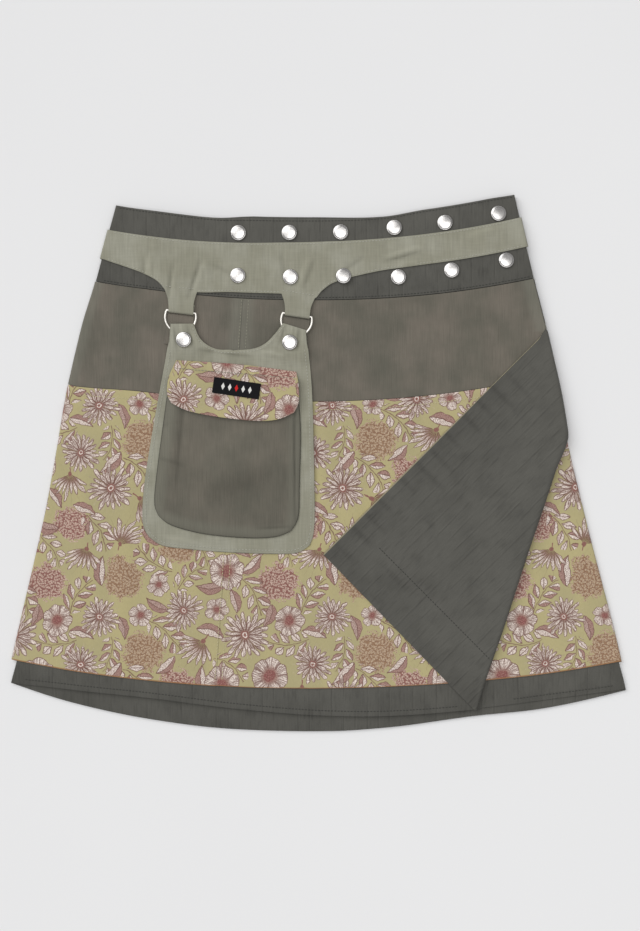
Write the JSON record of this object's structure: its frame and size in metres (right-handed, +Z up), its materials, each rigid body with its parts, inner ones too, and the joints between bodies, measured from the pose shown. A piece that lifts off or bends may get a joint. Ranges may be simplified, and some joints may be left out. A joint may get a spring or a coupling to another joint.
{
  "type": "reversible wrap skirt",
  "caption": "Reversible flared wrap skirt laid flat with one front corner folded back, snapped at the waistband, with its own belt that carries a hanging flap pouch.",
  "frame": {"origin": "Centre of the bounding box, at the height of the surface the skirt lies on.", "axes": "+X is across the skirt to the right as seen from above, +Y goes up the garment from hem to waist, +Z goes up out of the surface towards the front of the skirt."},
  "size_m": [0.5827, 0.5082, 0.0155],
  "materials": {
    "dark_cotton": "dark grey-green slub cotton, matt",
    "taupe_cord": "taupe brushed needlecord, matt with a soft nap",
    "floral_print": "olive cotton printed with flowers in rose brown and off-white, matt",
    "sage_canvas": "sage grey cotton canvas, washed, matt",
    "woven_label": "black damask-woven label",
    "nickel": "bright nickel plate"
  },
  "bodies": {
    "root": {"back_yoke": "taupe_cord", "back_print": "floral_print", "back_reverse": "dark_cotton", "underlap_reverse": "dark_cotton", "underlap_yoke": "taupe_cord", "underlap_print": "floral_print", "front_left_yoke": "taupe_cord", "front_left_print": "floral_print", "front_right_yoke": "taupe_cord", "front_right_print": "floral_print", "front_reverse": "dark_cotton", "waistband_back": "dark_cotton", "waistband_underlap": "dark_cotton", "waistband_front": "dark_cotton", "belt_front": "sage_canvas", "belt_back": "sage_canvas", "d_ring_left": "nickel", "d_ring_right": "nickel", "ring_loop_left": "taupe_cord", "ring_loop_right": "taupe_cord", "pocket_board": "sage_canvas", "pouch": "taupe_cord", "pocket_flap": "floral_print", "label": "woven_label", "snap_top_1": "nickel", "snap_top_2": "nickel", "snap_top_3": "nickel", "snap_top_4": "nickel", "snap_top_5": "nickel", "snap_top_6": "nickel", "snap_low_1": "nickel", "snap_low_2": "nickel", "snap_low_3": "nickel", "snap_low_4": "nickel", "snap_low_5": "nickel", "snap_low_6": "nickel", "snap_ear_left": "nickel", "snap_ear_right": "nickel"}
  },
  "joints": []
}
